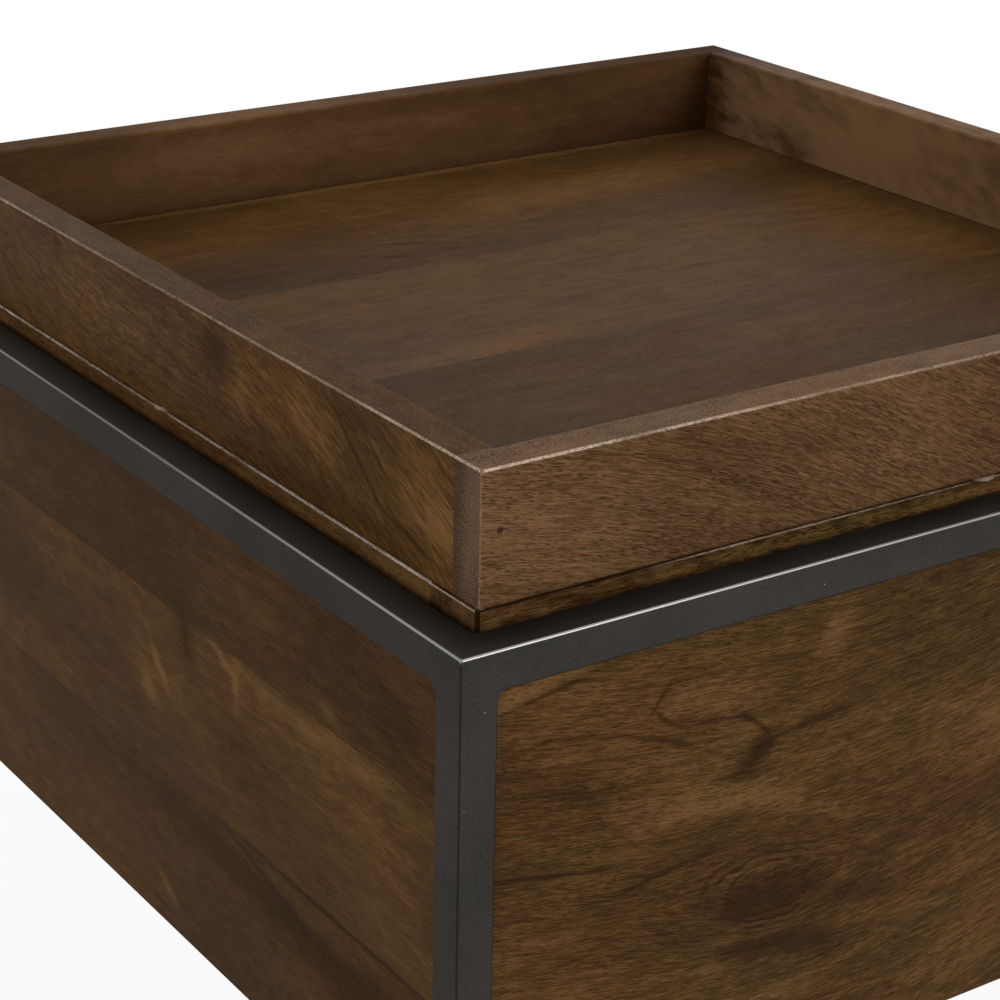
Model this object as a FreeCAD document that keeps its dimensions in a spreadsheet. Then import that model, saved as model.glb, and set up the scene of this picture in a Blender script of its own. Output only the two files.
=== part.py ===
"""Tray-top accent table: a wooden box in a frame of square tube, under a loose tray.

Millimetres, +Z up, the origin on the floor under the middle of the table.
The front is the -Y side.
"""

import FreeCAD, Part
import math
import os
import re
import Sketcher
from FreeCAD import Placement, Rotation, Vector

# Driving dimensions: name, millimetres, meaning
SIZES = (
    ("frame_width", 515, "outside of the metal frame, left to right"),
    ("frame_depth", 515, "outside of the metal frame, front to back"),
    ("frame_height", 550, "floor to the top of the metal frame"),
    ("tube", 16, "side of the square tube"),
    ("tube_wall", 1.2, "wall of the square tube"),
    ("tube_round", 1.2, "outer corner radius of the tube"),
    ("weld_round", 2.8, "radius of the ground welds in inner corners"),
    ("weld_lap", 0.9, "ground welds over the rounding of a tube"),
    ("glide_flange", 4, "thickness of a glide under its leg"),
    ("glide_round", 0.8, "rounding of a glide's lower rim"),
    ("glide_plug", 14, "depth of a glide's plug in the leg"),
    ("glide_play", 0.2, "gap between plug and tube, each side"),
    ("box_underside", 327, "floor to the underside of the box"),
    ("plate_leg", 46, "side of a corner plate"),
    ("plate_thick", 3, "thickness of a corner plate"),
    ("panel_recess", 3, "panel face behind the tube's face"),
    ("panel_thick", 13, "thickness of a side panel"),
    ("panel_play", 0.6, "gap between a panel's edge and the tube"),
    ("panel_round", 0.6, "easing of a panel's outer edges"),
    ("cleat", 20, "side of the corner cleats and ledgers"),
    ("cleat_chamfer", 3.4, "chamfer that clears the welds in the frame's corners"),
    ("bottom_thick", 12, "thickness of the bottom board"),
    ("bottom_play", 0.5, "gap between bottom board and panels"),
    ("top_thick", 18, "thickness of the inset top"),
    ("top_rise", 6, "inset top above the ring"),
    ("top_gap", 3.2, "gap between inset top and ring"),
    ("top_round", 1.5, "easing of the inset top's upper edge"),
    ("top_corner", 1.5, "chamfer on the inset top's upright corners"),
    ("edging_width", 30, "width of the inset top's solid edging"),
    ("tray_overhang", 1.7, "tray's faces out beyond those of the inset top"),
    ("tray_forward", 2, "loose tray rests forward of the inset top"),
    ("tray_height", 52, "height of the tray's boards"),
    ("tray_thick", 16.5, "thickness of the tray's boards"),
    ("tray_round", 1.5, "easing of the tray's edges"),
    ("tray_corner_round", 1, "easing of the tray's upright corners"),
    ("floor_lift", 3, "tray floor above the boards' lower edges"),
    ("floor_thick", 6, "thickness of the tray floor"),
    ("groove_deep", 5, "depth of the groove that holds the floor"),
    ("groove_play", 0.3, "room in the groove above and beside the floor"),
    ("plank_width", 124, "width of a full floor plank"),
    ("plank_joint", 198.6, "middle joint of the floor, from the tray's front face"),
    ("pad_thick", 2, "thickness of the pads under the tray"),
    ("pad_diameter", 12, "diameter of the pads"),
    ("pad_inset", 5.5, "pad's centre in from the tray's face"),
    ("pad_round", 0.5, "rounding of a pad's lower rim"),
    ("nail_height", 28.5, "nail above the boards' lower edges"),
    ("nail_diameter", 1.6, "diameter of the tray's nails"),
    ("nail_length", 38, "length of the tray's nails"),
    ("plug_diameter", 2.6, "diameter of the filler over a nail"),
    ("plug_deep", 2, "depth of the filler over a nail"),
    ("screw_head", 7, "head diameter of the wood screws"),
    ("screw_cone", 2.6, "height of the countersunk head"),
    ("screw_shank", 3.4, "shank diameter of the wood screws"),
    ("screw_length", 28, "length of the wood screws"),
    ("screw_point", 4, "length of a screw's point"),
    ("screw_sink", 0.5, "head below the surface"),
    ("screw_play", 0.15, "room round a screw in its hole"),
    ("screw_edge", 45, "first screw in from the end of a cleat"),
)

NAMES = {name for name, _, _ in SIZES}

# Places worked out from the driving dimensions
INNER_FACE = "(panel_recess + panel_thick)"
RAIL_UNDERSIDE = "(frame_height - tube)"
TOP_UNDERSIDE = "(frame_height + top_rise - top_thick)"
TOP_INSET = "(tube + top_gap)"
TOP_WIDTH = f"(frame_width - 2 * {TOP_INSET})"
TOP_DEPTH = f"(frame_depth - 2 * {TOP_INSET})"
BOTTOM_TOP = "(box_underside + bottom_thick)"
TRAY_UNDERSIDE = "(frame_height + top_rise + pad_thick)"
TRAY = (f"({TOP_WIDTH} + 2 * tray_overhang)", f"({TOP_DEPTH} + 2 * tray_overhang)")
ON_TRAY = (*TRAY, "tray_forward")
CLEAT_LENGTH = f"({TOP_UNDERSIDE} - {BOTTOM_TOP})"
CLEAT_MIDDLE = f"({INNER_FACE} + cleat / 2)"
CLEAT_BACK = f"({INNER_FACE} + cleat)"

SIDES = ("front", "right", "back", "left")
CORNERS = ("front_left", "front_right", "back_right", "back_left")

doc = FreeCAD.newDocument("accent_table")
sheet = doc.addObject("Spreadsheet::Sheet", "Sizes")
for row, (name, value, meaning) in enumerate(SIZES, 1):
    sheet.set(f"A{row}", meaning)
    sheet.set(f"B{row}", str(value))
    sheet.setAlias(f"B{row}", name)
doc.recompute()

NODES = []


def bound(text):
    """The expression with each named size read from the sheet."""
    return re.sub(r"[a-z_]+", lambda word: f"Sizes.{word[0]}" if word[0] in NAMES else word[0], str(text))


def bind(thing, target, text):
    """Binds one property of a thing to an expression of named sizes."""
    thing.setExpression(target, bound(text))


def node(thing, label):
    """Names a finished sub-part and puts it on the list of pieces."""
    thing.Label = label
    NODES.append(thing)
    return thing


def stand(thing, side, along, inward, height, width="frame_width", depth="frame_depth", forward="0"):
    """Places a thing drawn in the coordinates of one side of a rectangle.

    Its X runs along that side from the side's left end, seen from outside, its Y runs
    inward and its Z up. The sides are counted from the front, anticlockwise from above.
    The rectangle's middle is over the origin, or as far forward of it as is given.
    """
    x_text, y_text = (
        (f"{along} - {width} / 2", f"{inward} - {depth} / 2"),
        (f"{width} / 2 - ({inward})", f"{along} - {depth} / 2"),
        (f"{width} / 2 - ({along})", f"{depth} / 2 - ({inward})"),
        (f"{inward} - {width} / 2", f"{depth} / 2 - ({along})"),
    )[side]
    bind(thing, "Placement.Base.x", x_text)
    bind(thing, "Placement.Base.y", f"{y_text} - {forward}")
    bind(thing, "Placement.Base.z", height)
    return thing


def turned(thing, side):
    """Turns a thing about Z to face one side of the table."""
    thing.Placement = Placement(Vector(), Rotation(Vector(0, 0, 1), 90 * side))
    return thing


def length_of(side, width="frame_width", depth="frame_depth"):
    """The length of a rectangle's side, which is its width at the front and back."""
    return width if side % 2 == 0 else depth


def new_body(label):
    """An empty body."""
    return doc.addObject("PartDesign::Body", label)


def new_sketch(body, label, role="XY_Plane"):
    """A sketch on one of the body's own origin planes."""
    plane = next(item for item in body.Origin.OriginFeatures if item.Role == role)
    sketch = body.newObject("Sketcher::SketchObject", f"{label}_sketch")
    sketch.AttachmentSupport = (plane, [""])
    sketch.MapMode = "FlatFace"
    return sketch


def place_point(sketch, line, point, distances):
    """Fixes a line's end at two distances from the origin, each an expression or zero."""
    for kind, axis, text in (("DistanceX", -2, distances[0]), ("DistanceY", -1, distances[1])):
        if text == "0":
            sketch.addConstraint(Sketcher.Constraint("PointOnObject", line, point, axis))
            continue
        start = sketch.getPoint(line, point)
        here = start.x if kind == "DistanceX" else start.y
        number = sketch.addConstraint(Sketcher.Constraint(kind, -1, 1, line, point, here))
        sketch.setExpression(f"Constraints[{number}]", bound(text))


def value_of(text):
    """The present value of an expression of named sizes."""
    return float(sheet.evalExpression(bound(text)))


def outline(sketch, points):
    """A closed outline of straight lines through points given as pairs of expressions."""
    corners = [Vector(value_of(x), value_of(y), 0) for x, y in points]
    first = sketch.GeometryCount
    count = len(corners)
    for number in range(count):
        line = Part.LineSegment(corners[number], corners[(number + 1) % count])
        sketch.addGeometry(line, False)
    for number in range(count):
        following = first + (number + 1) % count
        sketch.addConstraint(Sketcher.Constraint("Coincident", first + number, 2, following, 1))
    for number in range(count):
        place_point(sketch, first + number, 1, points[number])
    return sketch


def rectangle(sketch, width, depth, inset="0"):
    """A rectangle in the positive quarter, its near corner inset both ways from the origin."""
    far_x = f"{width} - {inset}"
    far_y = f"{depth} - {inset}"
    return outline(sketch, ((inset, inset), (far_x, inset), (far_x, far_y), (inset, far_y)))


def pad(body, sketch, length, backwards=False):
    """Extends a sketch into a solid."""
    feature = body.newObject("PartDesign::Pad", f"{sketch.Name}_pad")
    feature.Profile = sketch
    feature.Reversed = backwards
    bind(feature, "Length", length)
    sketch.Visibility = False
    doc.recompute()
    return feature


def pocket(body, sketch, length, backwards=False):
    """Cuts a sketch out of the body, and makes sure that something was cut."""
    doc.recompute()
    before = body.Shape.Volume
    feature = body.newObject("PartDesign::Pocket", f"{sketch.Name}_pocket")
    feature.Profile = sketch
    feature.Reversed = backwards
    bind(feature, "Length", length)
    doc.recompute()
    if body.Shape.Volume >= before:
        raise RuntimeError(f"{feature.Name} cuts nothing")
    return feature


def dress(body, kind, size, wanted):
    """Fillets or chamfers the edges of the body that a test picks out."""
    doc.recompute()
    base = body.Tip
    edges = [f"Edge{number}" for number, edge in enumerate(base.Shape.Edges, 1) if wanted(edge)]
    feature = body.newObject(f"PartDesign::{kind}", f"{body.Name}_{kind}")
    feature.Base = (base, edges)
    bind(feature, "Radius" if kind == "Fillet" else "Size", size)
    doc.recompute()
    return feature


def block(label, width, depth, height):
    """A plain sawn piece with its near lower corner at the body's origin."""
    body = new_body(label)
    sketch = rectangle(new_sketch(body, label), width, depth)
    pad(body, sketch, height)
    return body


def combined(kind, label, base, tool):
    """One shape cut by another, or the part that both share."""
    feature = doc.addObject(f"Part::{kind}", label)
    feature.Base = base
    feature.Tool = tool
    doc.recompute()
    return feature


def is_upright(edge):
    """True for a straight edge along Z."""
    box = edge.BoundBox
    return box.XLength + box.YLength < box.ZLength * 1e-6


def is_level_at(height):
    """A test for edges that lie at one height."""
    level = value_of(height)
    return lambda edge: edge.BoundBox.ZLength < 1e-6 and abs(edge.BoundBox.ZMin - level) < 1e-6


def inner_side(width, depth, wide):
    """A test for edges on the inner side of a ring, over half its width from the outer faces."""
    middle = value_of(f"{wide} / 2")
    far_x = value_of(width) - middle
    far_y = value_of(depth) - middle

    def test(edge):
        box = edge.BoundBox
        return box.XMin > middle and box.YMin > middle and box.XMax < far_x and box.YMax < far_y

    return test


# Metal frame

def hollow_ring():
    """The welded top ring, hollow inside, with its welds ground and its corners rounded."""
    body = new_body("ring_outside")
    sketch = rectangle(new_sketch(body, "ring_outside"), "frame_width", "frame_depth")
    rectangle(sketch, "frame_width", "frame_depth", "tube")
    pad(body, sketch, "tube")
    inner = inner_side("frame_width", "frame_depth", "tube")
    dress(body, "Fillet", "weld_round", lambda edge: is_upright(edge) and inner(edge))
    dress(body, "Fillet", "tube_round", lambda edge: not inner(edge))
    dress(body, "Fillet", "tube_round", lambda edge: inner(edge) and not is_upright(edge))
    stand(body, 0, "0", "0", RAIL_UNDERSIDE)

    bore = new_body("ring_bore")
    sketch = rectangle(new_sketch(bore, "ring_bore"), "frame_width", "frame_depth", "tube_wall")
    rectangle(sketch, "frame_width", "frame_depth", "(tube - tube_wall)")
    pad(bore, sketch, "tube - 2 * tube_wall")
    stand(bore, 0, "0", "0", f"{RAIL_UNDERSIDE} + tube_wall")
    return combined("Cut", "ring_hollow", body, bore)


def rails(ring):
    """The ring's four rails, parted along the mitres."""
    reach = "2 * tube"
    for side, name in enumerate(SIDES):
        long = length_of(side)
        wedge = new_body(f"mitre_{name}")
        points = (("0", "0"), (long, "0"), (f"{long} - {reach}", reach), (reach, reach))
        pad(wedge, outline(new_sketch(wedge, wedge.Name), points), "tube")
        turned(wedge, side)
        stand(wedge, side, "0", "0", RAIL_UNDERSIDE)
        node(combined("Common", f"rail_{name}", ring, wedge), f"rail_{name}")


def weld(body, label, role, backwards):
    """A small concave weld at the top of a leg, as deep as the panel's recess.

    It laps over the leg's rounding and the ring's, so no groove is left beside it.
    """
    sketch = new_sketch(body, label, role)
    joint = f"({RAIL_UNDERSIDE} - glide_flange)"
    top = f"({joint} + weld_lap)"
    foot = f"({joint} - weld_round)"
    lap = "(tube - weld_lap)"
    reach = "(tube + weld_round)"
    places = ((lap, foot), (lap, top), (reach, top), (reach, joint), ("tube", foot))
    points = [Vector(value_of(x), value_of(y), 0) for x, y in places]
    for number in range(3):
        sketch.addGeometry(Part.LineSegment(points[number], points[number + 1]), False)
        place_point(sketch, number, 1, places[number])
    centre = Vector(value_of(reach), value_of(foot), 0)
    circle = Part.Circle(centre, Vector(0, 0, 1), value_of("weld_round"))
    sketch.addGeometry(Part.ArcOfCircle(circle, math.pi / 2, math.pi), False)
    sketch.addGeometry(Part.LineSegment(points[4], points[0]), False)
    for first, second in ((0, 1), (1, 2), (2, 3), (3, 4), (4, 0)):
        sketch.addConstraint(Sketcher.Constraint("Coincident", first, 2, second, 1))
    place_point(sketch, 2, 2, places[3])
    place_point(sketch, 4, 1, places[4])
    upright = sketch.addConstraint(Sketcher.Constraint("DistanceX", -1, 1, 3, 3, centre.x))
    sketch.setExpression(f"Constraints[{upright}]", bound(reach))
    pad(body, sketch, "panel_recess", backwards)


def legs(ring):
    """Four legs of hollow tube, with the welds of their openings, ground flush with the ring."""
    for side, corner in enumerate(CORNERS):
        body = new_body(f"tube_{corner}")
        height = f"{RAIL_UNDERSIDE} - glide_flange + weld_lap"
        pad(body, rectangle(new_sketch(body, "tube"), "tube", "tube"), height)
        dress(body, "Fillet", "tube_round", is_upright)
        weld(body, "weld_along", "XZ_Plane", True)
        weld(body, "weld_across", "YZ_Plane", False)
        pocket(body, rectangle(new_sketch(body, "bore"), "tube", "tube", "tube_wall"), height, True)
        turned(body, side)
        stand(body, side, "0", "0", "glide_flange")
        node(combined("Cut", f"leg_{corner}", body, ring), f"leg_{corner}")


def glides():
    """A plastic glide plugged into each leg: a flange to stand on and a plug."""
    for side, corner in enumerate(CORNERS):
        body = new_body(f"glide_{corner}")
        pad(body, rectangle(new_sketch(body, "flange"), "tube", "tube"), "glide_flange")
        dress(body, "Fillet", "tube_round", is_upright)
        dress(body, "Fillet", "glide_round", is_level_at("0"))
        plug = rectangle(new_sketch(body, "plug"), "tube", "tube", "(tube_wall + glide_play)")
        pad(body, plug, "glide_flange + glide_plug")
        turned(node(body, f"glide_{corner}"), side)
        stand(body, side, "0", "0", "0")


def corner_plates():
    """A steel plate welded into each leg's inner corner, which carries the box."""
    for side, corner in enumerate(CORNERS):
        body = new_body(f"plate_{corner}")
        points = (
            ("tube", "tube"),
            ("tube", "panel_recess"),
            ("plate_leg", "panel_recess"),
            ("plate_leg", "tube"),
            ("tube", "plate_leg"),
            ("panel_recess", "plate_leg"),
            ("panel_recess", "tube"),
        )
        pad(body, outline(new_sketch(body, "plate"), points), "plate_thick")
        turned(body, side)
        stand(body, side, "0", "0", "box_underside - plate_thick")
        node(combined("Cut", f"corner_plate_{corner}", body, DRILLS["plate"]), f"corner_plate_{corner}")


# Fasteners

def turned_profile(label, points):
    """A solid of revolution about Z from a half outline in radius and height."""
    body = new_body(label)
    sketch = outline(new_sketch(body, label, "XZ_Plane"), points)
    feature = body.newObject("PartDesign::Revolution", f"{label}_turned")
    feature.Profile = sketch
    feature.ReferenceAxis = (sketch, ["V_Axis"])
    feature.Angle = 360
    doc.recompute()
    return body


def screw_body():
    """A countersunk wood screw, its head a little below the surface and its point up."""
    return turned_profile("screw", (
        ("0", "screw_sink"),
        ("screw_head / 2", "screw_sink"),
        ("screw_shank / 2", "screw_sink + screw_cone"),
        ("screw_shank / 2", "screw_length - screw_point"),
        ("0", "screw_length"),
    ))


def drill_body():
    """The countersunk hole of a screw, with room all round."""
    return turned_profile("drill", (
        ("0", "0"),
        ("screw_head / 2 + screw_play", "0"),
        ("screw_head / 2 + screw_play", "screw_sink"),
        ("screw_shank / 2 + screw_play", "screw_sink + screw_cone"),
        ("screw_shank / 2 + screw_play", "screw_length"),
        ("0", "screw_length + screw_play"),
    ))


def copies(label, source, places):
    """A group of separate copies of one solid, each at a place of its own."""
    group = doc.addObject("Part::Compound", label)
    links = []
    for number, (direction, place) in enumerate(places, 1):
        link = doc.addObject("App::Link", f"{label}_{number}")
        link.LinkedObject = source
        link.Placement = Placement(Vector(), Rotation(Vector(0, 0, 1), direction))
        stand(link, *place)
        links.append(link)
    group.Links = links
    doc.recompute()
    return group


def outward(side):
    """The direction out of one side of the table."""
    return Rotation(Vector(0, 0, 1), 90 * side).multVec(Vector(0, -1, 0))


def screw_places():
    """Where the screws go: a direction and a place in side coordinates for each."""
    upward = Vector(0, 0, 1)
    low = f"({BOTTOM_TOP} + screw_edge)"
    high = f"({TOP_UNDERSIDE} - cleat - screw_edge)"
    places = {"cleat": [], "ledger": [], "top": [], "plate": []}
    for side in range(4):
        long = length_of(side)
        for height in (low, high):
            places["cleat"].append((outward(side), (side, CLEAT_MIDDLE, CLEAT_BACK, height)))
            other = f"{height} + screw_head + screw_edge / 4"
            places["cleat"].append((outward(side), (side, f"{long} - {CLEAT_MIDDLE}", CLEAT_BACK, other)))
        middle = f"({TOP_UNDERSIDE} - cleat / 2)"
        for along in (f"({CLEAT_BACK} + screw_edge)", f"({long} - {CLEAT_BACK} - screw_edge)"):
            places["ledger"].append((outward(side), (side, along, CLEAT_BACK, middle)))
        for along in (f"({long} / 2 - screw_edge)", f"({long} / 2 + screw_edge)"):
            places["top"].append((upward, (side, along, CLEAT_MIDDLE, f"{TOP_UNDERSIDE} - cleat")))
        foot = "box_underside - plate_thick"
        places["plate"].append((upward, (side, CLEAT_MIDDLE, CLEAT_MIDDLE, foot)))
    return places


def screws():
    """The four groups of screws, and the same groups of holes."""
    screw = screw_body()
    drill = drill_body()
    for name, places in screw_places().items():
        node(copies(f"{name}_screws", screw, places), f"{name}_screws")
        DRILLS[name] = copies(f"{name}_holes", drill, places)
    every = doc.addObject("Part::Compound", "all_holes")
    every.Links = list(DRILLS.values())
    DRILLS["all"] = every
    doc.recompute()


# Box

def drilled(body, label):
    """A finished wooden piece with its screw holes."""
    return node(combined("Cut", label, body, DRILLS["all"]), label)


def panels():
    """The four side panels, set back between the tubes."""
    height = f"{RAIL_UNDERSIDE} - panel_play - box_underside"
    for side, name in enumerate(SIDES):
        width = f"{length_of(side)} - 2 * (tube + panel_play)"
        body = block(f"board_{name}", width, "panel_thick", height)
        dress(body, "Fillet", "panel_round", lambda edge: abs(edge.BoundBox.YMax) < 1e-6)
        turned(body, side)
        stand(body, side, "tube + panel_play", "panel_recess", "box_underside")
        drilled(body, f"panel_{name}")


def cleats():
    """An upright cleat in each corner of the box, between bottom board and top."""
    for side, corner in enumerate(CORNERS):
        body = block(f"post_{corner}", "cleat", "cleat", CLEAT_LENGTH)
        near = lambda edge: is_upright(edge) and edge.BoundBox.XMax < 1e-6 and edge.BoundBox.YMax < 1e-6
        dress(body, "Chamfer", "cleat_chamfer", near)
        turned(body, side)
        stand(body, side, INNER_FACE, INNER_FACE, BOTTOM_TOP)
        drilled(body, f"cleat_{corner}")


def ledgers():
    """A ledger along the top of each panel, between the corner cleats."""
    for side, name in enumerate(SIDES):
        body = block(f"batten_{name}", f"{length_of(side)} - 2 * {CLEAT_BACK}", "cleat", "cleat")
        turned(body, side)
        stand(body, side, CLEAT_BACK, INNER_FACE, f"{TOP_UNDERSIDE} - cleat")
        drilled(body, f"ledger_{name}")


def bottom_board():
    """The bottom of the box, inside the panels and on the corner plates."""
    inset = f"({INNER_FACE} + bottom_play)"
    body = block("bottom", f"frame_width - 2 * {inset}", f"frame_depth - 2 * {inset}", "bottom_thick")
    stand(body, 0, inset, inset, "box_underside")
    drilled(body, "bottom_board")


def inset_top():
    """The inset top: a level infill inside solid edging, eased along its upper edge."""
    body = block("top_whole", TOP_WIDTH, TOP_DEPTH, "top_thick")
    dress(body, "Chamfer", "top_corner", is_upright)
    dress(body, "Fillet", "top_round", is_level_at("top_thick"))
    stand(body, 0, TOP_INSET, TOP_INSET, TOP_UNDERSIDE)
    edging = (TOP_WIDTH, TOP_DEPTH, "edging_width", "top_thick", TOP_INSET, TOP_UNDERSIDE)
    for name, piece in split_boards("edging", *edging).items():
        shared = combined("Common", f"top_part_{name}", body, piece)
        drilled(shared, f"top_edging_{name}")
    inner = (f"{TOP_WIDTH} - 2 * edging_width", f"{TOP_DEPTH} - 2 * edging_width")
    infill = block("infill", *inner, "top_thick")
    stand(infill, 0, f"{TOP_INSET} + edging_width", f"{TOP_INSET} + edging_width", TOP_UNDERSIDE)
    node(infill, "top_infill")


def split_boards(label, width, depth, thick, height, inset, level, outer=("frame_width", "frame_depth")):
    """Four blocks that part a ring into full-width front and back pieces and shorter sides."""
    pieces = {}
    for side, name in enumerate(SIDES):
        long = length_of(side, width, depth)
        butt = "0" if side % 2 == 0 else thick
        body = block(f"{label}_{name}", f"{long} - 2 * {butt}", thick, height)
        turned(body, side)
        stand(body, side, f"{inset} + {butt}", inset, level, *outer)
        pieces[name] = body
    return pieces


# Tray

def tray_ring():
    """The tray's rim as one ring, eased after assembly, with the floor's groove and nail holes."""
    body = new_body("rim")
    sketch = rectangle(new_sketch(body, "rim"), *TRAY)
    rectangle(sketch, *TRAY, "tray_thick")
    pad(body, sketch, "tray_height")
    inner = inner_side(*TRAY, "tray_thick")
    at_foot = is_level_at("0")
    dress(body, "Fillet", "tray_corner_round", lambda edge: is_upright(edge) and not inner(edge))
    dress(body, "Fillet", "tray_round", is_level_at("tray_height"))
    dress(body, "Fillet", "tray_corner_round", lambda edge: at_foot(edge) and not inner(edge))
    stand(body, 0, "0", "0", TRAY_UNDERSIDE, *ON_TRAY)

    reach = "(tray_thick - groove_deep)"
    across, deep = (f"{size} - 2 * {reach}" for size in TRAY)
    groove = block("groove", across, deep, "floor_thick + groove_play")
    stand(groove, 0, reach, reach, f"{TRAY_UNDERSIDE} + floor_lift", *ON_TRAY)
    return combined("Cut", "grooved_rim", combined("Cut", "drilled_rim", body, DRILLS["nail"]), groove)


def tray_boards():
    """The tray's four boards, butted, with the front and back ones full width."""
    rim = tray_ring()
    parts = split_boards("side", *TRAY, "tray_thick", "tray_height", "0", TRAY_UNDERSIDE, ON_TRAY)
    for name, piece in parts.items():
        node(combined("Common", f"tray_board_{name}", rim, piece), f"tray_board_{name}")


def tray_planks():
    """The tray floor: planks glued edge to edge, held in the groove all round."""
    start = "(tray_thick - groove_deep + groove_play)"
    joints = (
        start,
        "(plank_joint - plank_width)",
        "plank_joint",
        "(plank_joint + plank_width)",
        f"({TRAY[1]} - {start})",
    )
    for number, (near, far) in enumerate(zip(joints, joints[1:]), 1):
        body = block(f"plank_{number}", f"{TRAY[0]} - 2 * {start}", f"{far} - {near}", "floor_thick")
        stand(body, 0, start, near, f"{TRAY_UNDERSIDE} + floor_lift", *ON_TRAY)
        node(body, f"tray_plank_{number}")


def tray_pads():
    """A round pad under the middle of each of the tray's sides."""
    pad_body = turned_profile("pad_round_body", (
        ("0", "0"),
        ("pad_diameter / 2 - pad_round", "0"),
        ("pad_diameter / 2", "pad_round"),
        ("pad_diameter / 2", "pad_thick"),
        ("0", "pad_thick"),
    ))
    height = f"{TRAY_UNDERSIDE} - pad_thick"
    places = [
        (Vector(0, 0, 1), (side, f"{length_of(side, *TRAY)} / 2", "pad_inset", height, *ON_TRAY))
        for side in range(4)
    ]
    node(copies("tray_pads", pad_body, places), "tray_pads")


def nail_places():
    """One nail at each end of the front and back boards, driven into the side boards."""
    height = f"{TRAY_UNDERSIDE} + nail_height"
    places = []
    for side in (0, 2):
        for along in ("tray_thick / 2", f"{TRAY[0]} - tray_thick / 2"):
            places.append((-outward(side), (side, along, "0", height, *ON_TRAY)))
    return places


def nails():
    """The tray's nails, the filler plugs over them, and the holes for both."""
    nail = turned_profile("nail", (
        ("0", "plug_deep"),
        ("nail_diameter / 2", "plug_deep"),
        ("nail_diameter / 2", "plug_deep + nail_length - nail_diameter"),
        ("0", "plug_deep + nail_length"),
    ))
    plug = turned_profile("plug", (
        ("0", "0"),
        ("plug_diameter / 2", "0"),
        ("plug_diameter / 2", "plug_deep"),
        ("0", "plug_deep"),
    ))
    hole = turned_profile("nail_hole", (
        ("0", "0"),
        ("plug_diameter / 2", "0"),
        ("plug_diameter / 2", "plug_deep"),
        ("nail_diameter / 2", "plug_deep"),
        ("nail_diameter / 2", "plug_deep + nail_length"),
        ("0", "plug_deep + nail_length"),
    ))
    places = nail_places()
    node(copies("tray_nails", nail, places), "tray_nails")
    node(copies("tray_plugs", plug, places), "tray_plugs")
    DRILLS["nail"] = copies("nail_holes", hole, places)


def write_parts():
    """Checks every object and writes each sub-part to a file of its own."""
    doc.recompute()
    for thing in doc.Objects:
        if "Invalid" in thing.State or "Error" in thing.State:
            raise RuntimeError(f"{thing.Label} is {thing.State}")
    for thing in NODES:
        if thing.Shape.isNull() or not thing.Shape.isValid() or not thing.Shape.Solids:
            raise RuntimeError(f"{thing.Label} has no sound shape")
    os.makedirs("parts", exist_ok=True)
    for thing in NODES:
        thing.Shape.exportStep(f"parts/{thing.Label}.step")
        print(f"{thing.Label}: {len(thing.Shape.Solids)} solids, {thing.Shape.Volume / 1000:.2f} cubic cm")


DRILLS = {}

screws()
nails()
ring_tube = hollow_ring()
rails(ring_tube)
legs(ring_tube)
glides()
corner_plates()
panels()
cleats()
ledgers()
bottom_board()
inset_top()
tray_boards()
tray_planks()
tray_pads()
write_parts()
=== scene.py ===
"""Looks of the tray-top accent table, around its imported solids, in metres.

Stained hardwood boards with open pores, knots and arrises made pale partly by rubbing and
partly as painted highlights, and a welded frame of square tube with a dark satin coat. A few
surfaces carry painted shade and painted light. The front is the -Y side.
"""

import math

import bpy
from mathutils import Matrix, Vector


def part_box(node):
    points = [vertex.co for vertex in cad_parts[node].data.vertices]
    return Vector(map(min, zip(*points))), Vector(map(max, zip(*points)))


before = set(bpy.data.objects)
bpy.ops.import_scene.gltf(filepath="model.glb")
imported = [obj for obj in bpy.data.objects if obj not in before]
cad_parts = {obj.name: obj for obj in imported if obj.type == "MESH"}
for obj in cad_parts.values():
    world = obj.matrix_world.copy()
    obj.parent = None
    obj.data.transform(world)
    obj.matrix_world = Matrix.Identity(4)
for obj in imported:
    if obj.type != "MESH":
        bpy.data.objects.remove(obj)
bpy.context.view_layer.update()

MILLIMETRE = 0.001


def paint(red, green, blue):
    """A colour written as it looks on a screen, from 0 to 255, as linear light."""
    def linear(value):
        share = value / 255
        return share / 12.92 if share <= 0.04045 else ((share + 0.055) / 1.055) ** 2.4

    return (linear(red), linear(green), linear(blue), 1.0)


# Node trees

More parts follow.
